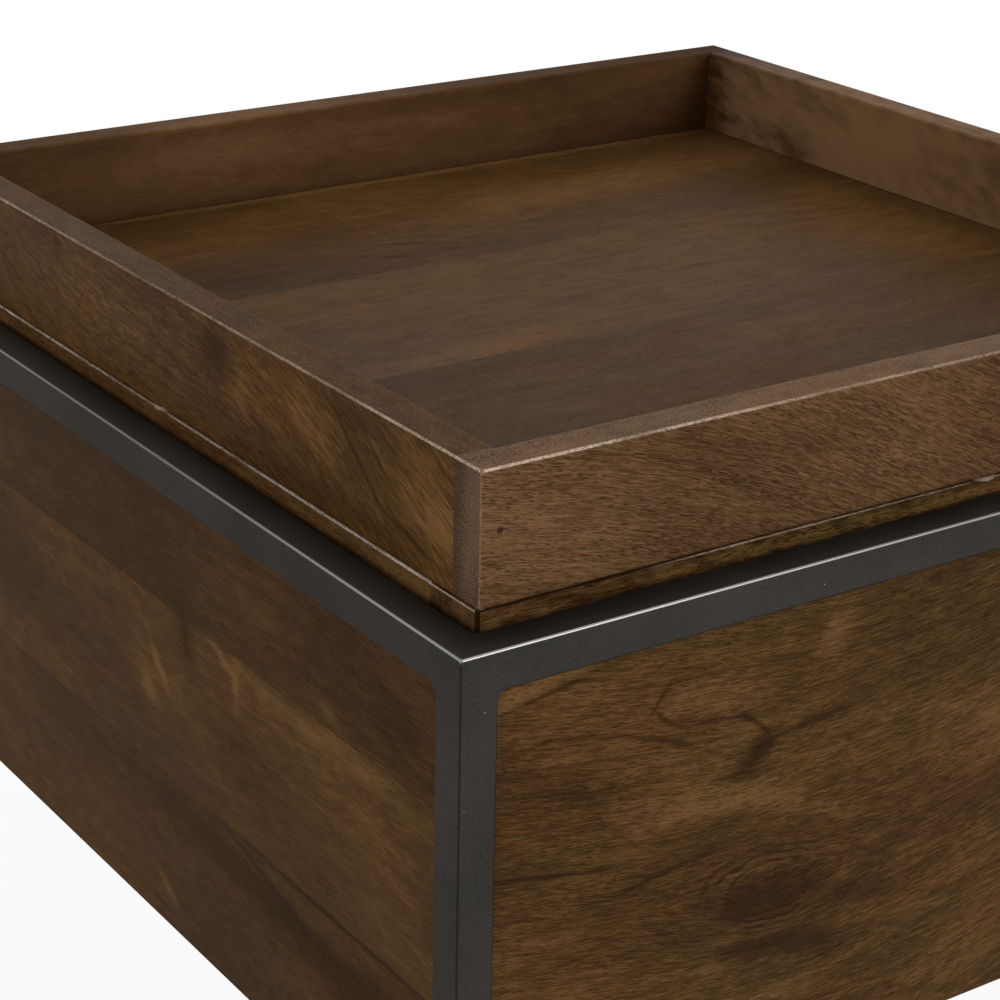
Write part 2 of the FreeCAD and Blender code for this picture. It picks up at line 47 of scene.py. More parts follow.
class Net:
    """Adds nodes to one tree. A value that is a socket is linked, and any other is set."""

    def __init__(self, tree):
        self.tree = tree

    def node(self, kind, values=None, **settings):
        made = self.tree.nodes.new(kind)
        for name, setting in settings.items():
            setattr(made, name, setting)
        for key, value in (values or {}).items():
            self.feed(made.inputs[key], value)
        return made

    def feed(self, socket, value):
        if isinstance(value, bpy.types.NodeSocket):
            self.tree.links.new(value, socket)
        else:
            socket.default_value = value

    def math(self, operation, *values, clamp=False):
        made = self.node("ShaderNodeMath", dict(enumerate(values)), operation=operation,
                         use_clamp=clamp)
        return made.outputs[0]

    def product(self, first, *others):
        """All the values multiplied together."""
        for value in others:
            first = self.math("MULTIPLY", first, value)
        return first

    def swing(self, value, amount):
        """A value from 0 to 1 turned into one that swings either way by half the amount."""
        return self.math("MULTIPLY", self.math("SUBTRACT", value, 0.5), amount)

    def vector(self, operation, *values):
        made = self.node("ShaderNodeVectorMath", dict(enumerate(values)), operation=operation)
        return made.outputs["Value" if operation in ("LENGTH", "DOT_PRODUCT") else "Vector"]

    def scale(self, vector, factor):
        values = {0: vector, "Scale": factor}
        return self.node("ShaderNodeVectorMath", values, operation="SCALE").outputs["Vector"]

    def split(self, vector):
        return self.node("ShaderNodeSeparateXYZ", {0: vector}).outputs[:3]

    def join(self, x, y, z):
        return self.node("ShaderNodeCombineXYZ", {0: x, 1: y, 2: z}).outputs[0]

    def mix(self, factor, first, second, blend="MIX"):
        """A mix of two colours, by the sockets that the node keeps for colours."""
        made = self.node("ShaderNodeMix", data_type="RGBA", blend_type=blend)
        self.feed(made.inputs[0], factor)
        self.feed(made.inputs[6], first)
        self.feed(made.inputs[7], second)
        return made.outputs[2]

    def tint(self, colour, mask, strength, over, blend="MIX"):
        """A colour with another one over it where the mask is."""
        return self.mix(self.math("MULTIPLY", mask, strength), colour, over, blend)

    def noise(self, vector, pitch, detail=2.0, rough=0.5):
        """Noise of a pitch in waves per metre, the same every way or given for each axis."""
        pitches = pitch if isinstance(pitch, tuple) else (pitch, pitch, pitch)
        values = {"Vector": self.vector("MULTIPLY", vector, pitches), "Scale": 1.0,
                  "Detail": detail, "Roughness": rough}
        return self.node("ShaderNodeTexNoise", values).outputs

    def wobble(self, vector, pitch, reach, detail=2.0, rough=0.5):
        """A shift that wanders with noise, either way by half its reach on each axis."""
        colour = self.noise(vector, pitch, detail, rough)["Color"]
        return self.vector("MULTIPLY", self.vector("SUBTRACT", colour, (0.5, 0.5, 0.5)), reach)

    def soft_step(self, value, low, high, start=0.0, end=1.0):
        values = {0: value, 1: low, 2: high, 3: start, 4: end}
        return self.node("ShaderNodeMapRange", values, interpolation_type="SMOOTHSTEP").outputs[0]

    def bump(self, shader, height, strength, depth):
        """Gives a shader relief, with its depth in millimetres."""
        values = {"Height": height, "Strength": strength, "Distance": depth * MILLIMETRE}
        self.feed(shader.inputs["Normal"], self.node("ShaderNodeBump", values).outputs[0])

    def group(self, tree, **values):
        made = self.node("ShaderNodeGroup", node_tree=tree)
        for name, value in values.items():
            self.feed(made.inputs[name.replace("_", " ").capitalize()], value)
        return made.outputs


def new_group(label, inputs, outputs):
    """An empty shader group: its net, its inputs by name, and its output node."""
    tree = bpy.data.node_groups.new(label, "ShaderNodeTree")
    kinds = {tuple: "NodeSocketVector", float: "NodeSocketFloat"}
    for name, value in inputs.items():
        socket = tree.interface.new_socket(name, in_out="INPUT", socket_type=kinds[type(value)])
        socket.default_value = value
    for name in outputs:
        kind = "NodeSocketVector" if name == "Vector" else "NodeSocketFloat"
        tree.interface.new_socket(name, in_out="OUTPUT", socket_type=kind)
    net = Net(tree)
    return net, net.node("NodeGroupInput").outputs, net.node("NodeGroupOutput")


# The patterns. A pitch is in waves per metre: along the grain, into the face and across it.
# A step has the value where it starts and the one where it ends, and may then have the two
# levels that it joins.
SEED_SHIFT = (3.1, 1.7, 2.3)
SLOW_BEND = (5.0, 12.0, 14.0)
SLOW_BEND_REACH = (0.0, 2.0, 2.0)
QUICK_BEND = (55.0, 90.0, 90.0)
QUICK_BEND_REACH = (0.0, 0.9 * MILLIMETRE, 0.9 * MILLIMETRE)
RING_ZONE = (9.0, 30.0, 30.0)
RING_ZONE_STEP = (0.42, 0.62)
RING_CONTRAST = 2.2
COARSE_FIBRE = (24.0, 800.0, 800.0)
FINE_FIBRE = (130.0, 2600.0, 2600.0)
FINE_FIBRE_SHARE = 2.0
FIBRE_STEP = (0.15, 0.85)
PORE_DASH = (300.0, 3700.0, 3700.0)
PORE_CROWD = (25.0, 110.0, 110.0)
PORE_LEVEL = 0.78
PORE_CROWDING = -0.4
PORE_EDGE = 0.08
HUE_PATCH = (11.0, 26.0, 28.0)
HUE_STEP = (0.35, 0.65)
CLOUD = (8.0, 16.0, 18.0)
MOTTLING = (60.0, 130.0, 150.0)
EVEN_STEP = (0.3, 0.7)


def timber_group():
    """Sawn timber in grain space: the grain runs along X, Y goes into the face and Z across it.

    Rings are the distance from the log's heart line, which dives into the board along its
    length. The grain slants, sways like a sine and wanders with noise. Pores are short dashes.
    """
    net, given, made = new_group("timber", {
        "Vector": (0.0, 0.0, 0.0), "Seed": 0.0, "Depth": 0.06, "Height": 0.0, "Dive": 0.0,
        "Slant": 0.0, "Sway": 0.0, "Sway length": 0.35, "Sway start": 0.0, "Wander": 0.006,
        "Ring": 0.004,
    }, ("Rings", "Fibre", "Pores", "Clouds", "Mottle", "Hue"))
    along, deep, across = net.split(given["Vector"])
    travel = net.math("SUBTRACT", along, given["Sway start"])
    turn = net.math("DIVIDE", net.math("MULTIPLY", travel, 2 * math.pi), given["Sway length"])
    drift = net.math("ADD", net.math("MULTIPLY", along, given["Slant"]),
                     net.math("MULTIPLY", given["Sway"], net.math("SINE", turn)))
    straight = net.join(along, deep, net.math("SUBTRACT", across, drift))
    offset = net.scale(SEED_SHIFT, given["Seed"])
    seeded = net.vector("ADD", straight, offset)
    bend = net.scale(net.wobble(seeded, SLOW_BEND, SLOW_BEND_REACH), given["Wander"])
    curl = net.wobble(seeded, QUICK_BEND, QUICK_BEND_REACH, 1.0)
    grain = net.vector("ADD", net.vector("ADD", straight, bend), curl)
    strewn = net.vector("ADD", grain, offset)

    run, depth, height = net.split(grain)
    dive = net.math("MULTIPLY", run, given["Dive"])
    off_y = net.math("SUBTRACT", net.math("SUBTRACT", depth, given["Depth"]), dive)
    off_z = net.math("SUBTRACT", height, given["Height"])
    square = net.math("ADD", net.math("POWER", off_y, 2.0), net.math("POWER", off_z, 2.0))
    count = net.math("DIVIDE", net.math("SQRT", square), given["Ring"])
    rings = net.node("ShaderNodeTexNoise", {
        "W": net.math("ADD", count, given["Seed"]), "Scale": 1.0, "Detail": 2.0,
    }, noise_dimensions="1D").outputs[0]
    zone = net.soft_step(net.noise(strewn, RING_ZONE, 1.0)[0], *RING_ZONE_STEP)
    shown = net.swing(rings, zone)
    net.feed(made.inputs["Rings"], net.math("MULTIPLY_ADD", shown, RING_CONTRAST, 0.5))

    coarse = net.noise(strewn, COARSE_FIBRE, 2.0, 0.6)[0]
    fine = net.math("SUBTRACT", net.noise(strewn, FINE_FIBRE, 1.0, 0.6)[0], 0.5)
    fibre = net.math("MULTIPLY_ADD", fine, FINE_FIBRE_SHARE, coarse)
    net.feed(made.inputs["Fibre"], net.soft_step(fibre, *FIBRE_STEP))
    dashes = net.noise(strewn, PORE_DASH, 0.0)[0]
    crowd = net.noise(strewn, PORE_CROWD, 2.0)[0]
    level = net.math("MULTIPLY_ADD", crowd, PORE_CROWDING, PORE_LEVEL)
    above = net.math("SUBTRACT", dashes, level)
    net.feed(made.inputs["Pores"], net.math("DIVIDE", above, PORE_EDGE, clamp=True))
    hue = net.noise(strewn, HUE_PATCH)[0]
    net.feed(made.inputs["Hue"], net.soft_step(hue, *HUE_STEP))
    clouds = net.noise(seeded, CLOUD, 1.0, 0.45)[0]
    net.feed(made.inputs["Clouds"], net.soft_step(clouds, *EVEN_STEP))
    mottle = net.noise(strewn, MOTTLING, 1.0)[0]
    net.feed(made.inputs["Mottle"], net.soft_step(mottle, *EVEN_STEP))
    return net.tree


# Knots. Their steps and their unevenness are in shares of a knot's reach.
KNOT_WOBBLE = (45.0, 45.0, 60.0)
KNOT_UNEVEN = (0.45, 0.0, 0.45)
KNOT_FALL = -0.6
CORE_FALL = -1.6
KNOT_RINGS = 28.0
KNOT_RING_STEP = (0.1, 0.9)
KNOT_INNER_STEP = (0.55, 0.75)
KNOT_OUTER_STEP = (1.05, 1.3, 1.0, 0.0)
KNOT_BREAK = 45.0
KNOT_BREAK_STEP = (0.42, 0.58)


def knot_group():
    """A knot: the grain parts round it, and fine rings close on its dark core."""
    net, given, made = new_group("knot", {
        "Vector": (0.0, 0.0, 0.0), "Centre": (0.0, 0.0, 0.0), "Reach": (0.03, 1.0, 0.02),
        "Lean": 0.0, "Part": 0.7, "Lift": 0.0,
    }, ("Vector", "Core", "Rings"))
    run, _, rise = net.split(net.vector("SUBTRACT", given["Vector"], given["Centre"]))
    upright = net.math("SUBTRACT", rise, net.math("MULTIPLY", run, given["Lean"]))
    uneven = net.wobble(given["Vector"], KNOT_WOBBLE, KNOT_UNEVEN)
    oval = net.vector("DIVIDE", net.join(run, 0.0, upright), given["Reach"])
    apart = net.vector("ADD", oval, uneven)
    square = net.vector("DOT_PRODUCT", apart, apart)
    bell = net.math("EXPONENT", net.math("MULTIPLY", square, KNOT_FALL))
    parting = net.product(upright, given["Part"], -1.0)
    push = net.math("MULTIPLY", bell, net.math("ADD", parting, given["Lift"]))
    net.feed(made.inputs["Vector"], net.vector("ADD", given["Vector"], net.join(0.0, 0.0, push)))
    net.feed(made.inputs["Core"], net.math("EXPONENT", net.math("MULTIPLY", square, CORE_FALL)))
    away = net.math("SQRT", square)
    wave = net.math("SINE", net.math("MULTIPLY", away, KNOT_RINGS))
    rim = net.math("MULTIPLY", net.soft_step(away, *KNOT_INNER_STEP),
                   net.soft_step(away, *KNOT_OUTER_STEP))
    broken = net.soft_step(net.noise(given["Vector"], KNOT_BREAK, 1.0)[0], *KNOT_BREAK_STEP)
    rings = net.product(net.soft_step(wave, *KNOT_RING_STEP), rim, broken)
    net.feed(made.inputs["Rings"], rings)
    return net.tree


MARK_WOBBLE = (60.0, 60.0, 120.0)
MARK_UNEVEN = (1.6, 0.0, 1.6)


def mark_group():
    """One cloud, streak or line in the figure: an uneven ellipse, leaning and bent like a bow."""
    net, given, made = new_group("mark", {
        "Vector": (0.0, 0.0, 0.0), "Centre": (0.0, 0.0, 0.0), "Reach": (0.03, 1.0, 0.01),
        "Lean": 0.0, "Bend": 0.0,
    }, ("Mask",))
    run, _, rise = net.split(net.vector("SUBTRACT", given["Vector"], given["Centre"]))
    slope = net.math("MULTIPLY_ADD", run, given["Bend"], given["Lean"])
    upright = net.math("SUBTRACT", rise, net.math("MULTIPLY", run, slope))
    uneven = net.wobble(given["Vector"], MARK_WOBBLE, MARK_UNEVEN, 3.0, 0.6)
    oval = net.vector("DIVIDE", net.join(run, 0.0, upright), given["Reach"])
    apart = net.vector("ADD", oval, uneven)
    square = net.vector("DOT_PRODUCT", apart, apart)
    net.feed(made.inputs["Mask"], net.math("EXPONENT", net.math("MULTIPLY", square, -1.0)))
    return net.tree


BOARD_SHIFT = 1.37
GLUE_LINE = 0.45 * MILLIMETRE


def glued_group():
    """Boards glued edge to edge: each has its own timber and tone, with a fine line between."""
    net, given, made = new_group("glued boards", {
        "Vector": (0.0, 0.0, 0.0), "Width": 0.08, "Start": 0.0,
    }, ("Vector", "Tone", "Line"))
    across = net.split(given["Vector"])[2]
    place = net.math("DIVIDE", net.math("SUBTRACT", across, given["Start"]), given["Width"])
    board = net.math("FLOOR", place)
    shift = net.join(net.math("MULTIPLY", board, BOARD_SHIFT), 0.0, 0.0)
    net.feed(made.inputs["Vector"], net.vector("ADD", given["Vector"], shift))
    tone = net.node("ShaderNodeTexWhiteNoise", {"W": board}, noise_dimensions="1D")
    net.feed(made.inputs["Tone"], tone.outputs[0])
    inside = net.math("MULTIPLY", net.math("FRACT", place), given["Width"])
    near = net.math("MINIMUM", inside, net.math("SUBTRACT", given["Width"], inside))
    net.feed(made.inputs["Line"], net.soft_step(near, 0.0, GLUE_LINE, 1.0, 0.0))
    return net.tree


ARRIS_WIDTH = 2.4 * MILLIMETRE
ARRIS_NEAR_STEP = (0.8, 1.1, 1.0, 0.0)
ARRIS_TURN_STEP = (0.86, 0.97, 1.0, 0.0)


def arris_group():
    """Eased outer arrises of a squared piece: near two of its box's faces, and facing neither.

    Inset and Corner are the distances in from the nearer and the farther upright face, and
    Diagonal is high on upright corners.
    """
    net, given, made = new_group("arris", {
        "Vector": (0.0, 0.0, 0.0), "Facing": (0.0, 0.0, 1.0), "Low": (0.0, 0.0, 0.0),
        "High": (1.0, 1.0, 1.0), "Width": ARRIS_WIDTH,
    }, ("Mask", "Inset", "Corner", "Diagonal"))
    below = net.vector("SUBTRACT", given["Vector"], given["Low"])
    above = net.vector("SUBTRACT", given["High"], given["Vector"])
    x, y, z = net.split(net.vector("MINIMUM", below, above))
    least = net.math("MINIMUM", x, y)
    most = net.math("MAXIMUM", x, y)
    middle = net.math("MAXIMUM", least, net.math("MINIMUM", most, z))
    near = net.soft_step(net.math("DIVIDE", middle, given["Width"]), *ARRIS_NEAR_STEP)
    east, north, up = net.split(net.vector("ABSOLUTE", given["Facing"]))
    straight = net.math("MAXIMUM", net.math("MAXIMUM", east, north), up)
    eased = net.soft_step(straight, *ARRIS_TURN_STEP)
    net.feed(made.inputs["Mask"], net.math("MULTIPLY", near, eased))
    net.feed(made.inputs["Inset"], least)
    net.feed(made.inputs["Corner"], most)
    net.feed(made.inputs["Diagonal"], net.math("MINIMUM", east, north))
    return net.tree


def speck_group():
    """Sparse specks, such as dust: small spots in a few of the cells of a grid."""
    net, given, made = new_group("specks", {
        "Vector": (0.0, 0.0, 0.0), "Cell": 0.01, "Size": 0.02, "Share": 0.3,
    }, ("Mask",))
    cell = net.join(given["Cell"], given["Cell"], given["Cell"])
    place = net.vector("DIVIDE", given["Vector"], cell)
    cells = net.node("ShaderNodeTexVoronoi", {"Vector": place, "Scale": 1.0})
    spot = net.math("LESS_THAN", cells.outputs["Distance"], given["Size"])
    chosen = net.math("LESS_THAN", net.split(cells.outputs["Color"])[0], given["Share"])
    net.feed(made.inputs["Mask"], net.math("MULTIPLY", spot, chosen))
    return net.tree


TIMBER = timber_group()
KNOT = knot_group()
MARK = mark_group()
GLUED = glued_group()
ARRIS = arris_group()
SPECKS = speck_group()


# Materials

def new_material(label):
    """A material with its net and its Principled shader."""
    material = bpy.data.materials.new(label)
    material.use_nodes = True
    net = Net(material.node_tree)
    return material, net, material.node_tree.nodes["Principled BSDF"]


def finish_with(name, material):
    """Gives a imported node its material."""
    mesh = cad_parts[name].data
    mesh.materials.clear()
    mesh.materials.append(material)


def scaled(colour, factor):
    """A colour made darker or lighter."""
    return tuple(factor * value for value in colour[:3]) + (1.0,)


def span(names):
    """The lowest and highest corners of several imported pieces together."""
    boxes = [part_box(name) for name in names]
    low = Vector(min(corner[axis] for corner, _ in boxes) for axis in range(3))
    high = Vector(max(corner[axis] for _, corner in boxes) for axis in range(3))
    return low, high


SIDES = ("front", "right", "back", "left")
RIM = [f"tray_board_{side}" for side in SIDES]
TOP = [f"top_edging_{side}" for side in SIDES]
RING = [f"rail_{side}" for side in SIDES]
GRAIN_TURN = {
    "x": (0.0, 0.0, 0.0), "y": (0.0, 0.0, -math.pi / 2), "level": (math.pi / 2, 0.0, 0.0),
}

# Stains, from dark to light. Their tones have places on a ramp with a deeper and a brighter
# end, and the level of tone is stretched and moved to fall on it.
STAIN = {
    "rosy": (paint(66, 43, 24), paint(88, 61, 37), paint(112, 82, 56)),
    "brown": (paint(52, 32, 13), paint(76, 50, 24), paint(104, 73, 42)),
    "amber": (paint(53, 31, 10), paint(80, 52, 22), paint(115, 80, 45)),
    "sawn": (paint(92, 66, 44), paint(142, 108, 76), paint(176, 140, 104)),
}
STAIN_PLACES = (0.29, 0.5, 0.71)
STAIN_SPREAD = (0.6, 0.2)
DEEPEST = 0.7
BRIGHTEST = 1.35

# Tints over the stain, and how strong they are.
OLIVE = (0.84, 1.0, 0.9, 1.0)
WORN = paint(134, 106, 84)
# Pale tints for the arrises, partly rubbing and partly painted highlights.
RUBBED_AND_HIGHLIGHT_PALE = paint(192, 168, 146)
EDGING_WEAR_AND_HIGHLIGHT = paint(198, 184, 172)
PORE_SHADE = 0.45
CORE_SHADE = 0.35
KNOT_RING_SHADE = -0.42
LINE_SHADE = 0.5
DUST_SHARE = 0.3

# The surface: gloss, roughness and relief.
GRIT = 1500.0
LACQUER_GLOSS = 0.025
CLOUD_ROUGHNESS = 0.08
FIBRE_ROUGHNESS = 0.06
PORE_ROUGHNESS = 0.2
FIBRE_RELIEF = 0.25

# End grain.
END_GRAIN = (paint(46, 33, 21), paint(106, 83, 63))
END_FACING_STEP = (0.6, 0.9)
END_PATCH = (90.0, 90.0, 40.0)
END_PATCH_SHARE = 0.25
END_SHADE_STEP = (6.0 * MILLIMETRE, 15.5 * MILLIMETRE, 0.0, 0.12)
END_CUT_STEP = (0.3, 0.66)

# Pale arrises, partly from rubbing and partly painted highlights, strongest near the corners.
# BURIED takes the pieces' box down, so that lower arrises get no pale tint.
BURIED = 0.05
WORN_BEAD = 900.0
WORN_BEAD_STEP = (0.3, 0.6, 0.45, 1.0)
WORN_PATCH = 35.0
WORN_PATCH_STEP = (0.3, 0.55, 0.55, 1.0)
RUB_AND_HIGHLIGHT_CORNER_STEP = (0.01, 0.22, 1.0, 0.42)
UPRIGHT_STEP = (0.1, 0.3, 1.0, 0.2)
UNWORN_PORES = -0.7
# Painted shade under the tray on the front and back edging: the front-facing arris is darkened
# towards its left end, where the tray overhangs it, and only the lower part of the rounding gets
# the pale tint.
FRONT_STEP = (0.1, 0.3)
LOWER_STEP = (0.6, 0.8, 1.0, 0.0)
TRAY_SHADOW_STRENGTH = 0.8
RUBBED_ROUGHNESS = 0.3
BEAD_DENTS = 2.0
CHAMFER_STEP = (0.45, 0.6)


def ellipse(along, across, reach, height):
    """The centre and reach of a knot or a mark in metres of grain space, from millimetres."""
    return {"centre": (along * MILLIMETRE, 0.0, across * MILLIMETRE),
            "reach": (reach * MILLIMETRE, 1.0, height * MILLIMETRE)}


def lay_figure(net, spot, level, knots, marks, boards, steps):
    """The place bent by knots and boards, the tone, the knots' cores and the glue lines."""
    flat = spot
    core = line = 0.0
    for *oval, lean, lift in knots:
        swirl = net.group(KNOT, vector=spot, lean=lean, lift=lift * MILLIMETRE, **ellipse(*oval))
        spot = swirl["Vector"]
        core = net.math("MAXIMUM", core, swirl["Core"])
        level = net.math("MULTIPLY_ADD", swirl["Rings"], KNOT_RING_SHADE, level)
    for along, across, reach, height, lean, strength, *bend in marks:
        bow = bend[0] / MILLIMETRE if bend else 0.0
        oval = ellipse(along, across, reach, height)
        mark = net.group(MARK, vector=flat, lean=lean, bend=bow, **oval)["Mask"]
        level = net.math("MULTIPLY_ADD", mark, strength, level)
    if boards:
        width, start, contrast = boards
        glued = net.group(GLUED, vector=spot, width=width, start=start)
        spot = glued["Vector"]
        line = glued["Line"]
        apart = net.math("SUBTRACT", glued["Tone"], 0.5)
        level = net.math("MULTIPLY_ADD", apart, contrast, level)
    for axis, edge, change in steps:
        beyond = net.math("GREATER_THAN", net.split(flat)[axis], edge)
        level = net.math("MULTIPLY_ADD", beyond, change, level)
    return spot, level, core, line


def stained(net, stain, level):
    """The stain's colour at a level that is about 0.5."""
    ramp = net.node("ShaderNodeValToRGB", {0: net.math("MULTIPLY_ADD", level, *STAIN_SPREAD)})
    tones = STAIN[stain]
    ramp.color_ramp.elements[0].color = scaled(tones[0], DEEPEST)
    ramp.color_ramp.elements[1].color = scaled(tones[-1], BRIGHTEST)
    for share, tone in zip(STAIN_PLACES, tones):
        ramp.color_ramp.elements.new(share).color = tone
    return ramp.outputs[0]


def end_cut(net, place, arris):
    """The colour of end grain: grit in wide patches, darker away from the corner."""
    grit = net.noise(place["Object"], GRIT, 1.0)[0]
    wide = net.math("SUBTRACT", net.noise(place["Object"], END_PATCH)[0], 0.5)
    sawn = net.math("MULTIPLY_ADD", wide, END_PATCH_SHARE, grit)
    sawn = net.math("SUBTRACT", sawn, net.soft_step(arris["Corner"], *END_SHADE_STEP))
    return net.mix(net.soft_step(sawn, *END_CUT_STEP), *END_GRAIN)


def rub_and_highlight_arris(net, place, arris, pores, tray_shade_fade):
    """How much an arris is made pale by rubbing and by a painted highlight, how much of it lies
    in painted shade under the tray, and the beads of the rubbing.
    """
    bead = net.noise(place["Object"], WORN_BEAD)[0]
    patch = net.noise(place["Object"], WORN_PATCH)[0]
    rub_and_highlight = net.product(
        net.soft_step(bead, *WORN_BEAD_STEP),
        net.soft_step(patch, *WORN_PATCH_STEP),
        net.soft_step(arris["Corner"], *RUB_AND_HIGHLIGHT_CORNER_STEP),
        net.soft_step(arris["Diagonal"], *UPRIGHT_STEP),
        net.math("MULTIPLY_ADD", pores, UNWORN_PORES, 1.0),
    )
    tray_shaded = 0.0
    # Under the tray's overhang the arris gets painted shade instead of the pale tint, and the
    # upper part of the rounding gets no pale tint.
    if tray_shade_fade:
        _, north, up = net.split(place["Normal"])
        front = net.soft_step(net.math("ABSOLUTE", north), *FRONT_STEP)
        start = net.soft_step(net.split(place["Object"])[0], *tray_shade_fade, 1.0, 0.0)
        tray_shaded = net.math("MULTIPLY", front, start)
        lower = net.soft_step(up, *LOWER_STEP)
        rub_and_highlight = net.product(rub_and_highlight, net.math("SUBTRACT", 1.0, tray_shaded), lower)
    return rub_and_highlight, tray_shaded, bead


def wood(name, grain="x", stain="brown", seed=0.0, tone=0.0, rings=0.2, clouds=0.5, fibre=0.3,
         pores=0.5, mottle=0.12, hue=0.5, wear_and_highlight=0.0, wear_and_highlight_tint=WORN, tray_shade_fade=None,
         outside=None, knots=(), marks=(), boards=None, steps=(), sheen=0.42,
         gloss=LACQUER_GLOSS, chamfer=0.0, pore_highlight=None, end=0.85, **shape):
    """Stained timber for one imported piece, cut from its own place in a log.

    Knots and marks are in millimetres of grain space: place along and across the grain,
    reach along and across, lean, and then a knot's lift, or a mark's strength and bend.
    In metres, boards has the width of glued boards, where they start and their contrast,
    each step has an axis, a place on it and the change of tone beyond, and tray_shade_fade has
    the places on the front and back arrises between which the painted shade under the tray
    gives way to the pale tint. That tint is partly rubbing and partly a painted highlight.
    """
    material, net, shader = new_material(name)
    place = net.node("ShaderNodeTexCoord").outputs
    turned = {"Vector": place["Object"], "Rotation": GRAIN_TURN[grain]}
    spot = net.node("ShaderNodeMapping", turned).outputs[0]
    spot, level, core, line = lay_figure(net, spot, tone + 0.5, knots, marks, boards, steps)
    timber = net.group(TIMBER, vector=spot, seed=seed, **shape)
    shares = {"Rings": rings, "Clouds": clouds, "Fibre": fibre, "Mottle": mottle}
    for key, share in shares.items():
        level = net.math("ADD", level, net.swing(timber[key], share))
    dark = STAIN[stain][0]
    pore_and_shade_tint = scaled(dark, PORE_SHADE)
    colour = net.tint(stained(net, stain, level), timber["Hue"], hue, OLIVE, "MULTIPLY")
    colour = net.tint(colour, core, CORE_SHADE, dark)
    # A pale pore colour, where one is given, is a painted highlight on the pores.
    colour = net.tint(colour, timber["Pores"], pores, pore_highlight or pore_and_shade_tint)
    colour = net.tint(colour, line, LINE_SHADE, pore_and_shade_tint)

    low, high = span(outside or [name])
    low.z -= BURIED
    arris = net.group(ARRIS, vector=place["Object"], facing=place["Normal"], low=low, high=high)
    axis = (0.0, 1.0, 0.0) if grain == "y" else (1.0, 0.0, 0.0)
    facing = net.math("ABSOLUTE", net.vector("DOT_PRODUCT", place["Normal"], axis))
    cut = net.soft_step(facing, *END_FACING_STEP)
    colour = net.tint(colour, cut, end, end_cut(net, place, arris))
    sunk = net.math("MULTIPLY", timber["Pores"], -1.0)
    relief = net.math("MULTIPLY_ADD", timber["Fibre"], FIBRE_RELIEF, sunk)
    if wear_and_highlight:
        rub_and_highlight, tray_shaded, bead = rub_and_highlight_arris(net, place, arris, timber["Pores"], tray_shade_fade)
        # Painted shade on the arris under the tray's overhang, in the dark pore colour.
        if tray_shade_fade:
            tray_shadow_mask = net.math("MULTIPLY", arris["Mask"], tray_shaded)
            colour = net.tint(colour, tray_shadow_mask, TRAY_SHADOW_STRENGTH, pore_and_shade_tint)
        # The pale arris tint is partly rubbing and partly a painted highlight; the coat on it
        # gives a real sheen.
        wear_and_highlight_mask = net.math("MULTIPLY", arris["Mask"], rub_and_highlight)
        colour = net.tint(colour, wear_and_highlight_mask, wear_and_highlight, wear_and_highlight_tint)
        net.feed(shader.inputs["Coat Weight"], net.math("MULTIPLY", wear_and_highlight_mask, wear_and_highlight))
        shader.inputs["Coat Roughness"].default_value = RUBBED_ROUGHNESS
        relief = net.math("ADD", relief, net.product(bead, arris["Mask"], BEAD_DENTS))
    if chamfer:
        corner = net.soft_step(arris["Diagonal"], *CHAMFER_STEP)
        colour = net.tint(colour, corner, chamfer, pore_and_shade_tint)
    dust = net.group(SPECKS, vector=place["Object"])["Mask"]
    net.feed(shader.inputs["Base Color"], net.tint(colour, dust, DUST_SHARE, WORN))
    shader.inputs["Specular IOR Level"].default_value = gloss

    rough = net.math("ADD", sheen, net.swing(timber["Clouds"], CLOUD_ROUGHNESS))
    rough = net.math("ADD", rough, net.swing(timber["Fibre"], FIBRE_ROUGHNESS))
    rough = net.math("ADD", rough, net.math("MULTIPLY", timber["Pores"], PORE_ROUGHNESS))
    net.feed(shader.inputs["Roughness"], rough)
    net.bump(shader, relief, strength=0.5, depth=0.1)
    finish_with(name, material)


# The frame's coat.
COAT = (paint(51, 49, 46), paint(59, 56, 53))
COAT_GRIT = paint(78, 75, 72)
# Painted light on the ring's top, and a pale tint for the upper arrises that is partly burnish
# and partly a painted highlight.
LEDGE_TOP_LIGHT = paint(92, 90, 84)
BURNISH_AND_HIGHLIGHT = paint(148, 146, 141)
TURNED_SHADE = paint(24, 23, 22)
PALE_SPECK = paint(170, 166, 158)
STEEL_EDGE = (0.53, 0.52, 0.51, 1.0)
COAT_CLOUD = 18.0
COAT_GRIT_STEP = (0.5, 0.7)
RING_ARRIS = 1.6 * MILLIMETRE
UPPER_ARRIS = (2.0 * MILLIMETRE, 0.8 * MILLIMETRE)
BURNISH_AND_HIGHLIGHT_CORNER_STEP = (0.0, 0.25, 1.0, 0.5)
# The painted light on the ring's top fades towards the inset top, as painted shade there.
LEDGE_STEP = (0.8, 0.95)
LEDGE_FADE_STEP = (2.0 * MILLIMETRE, 16.0 * MILLIMETRE, 1.0, 0.45)
TURNED_STEP = (0.3, 0.5)


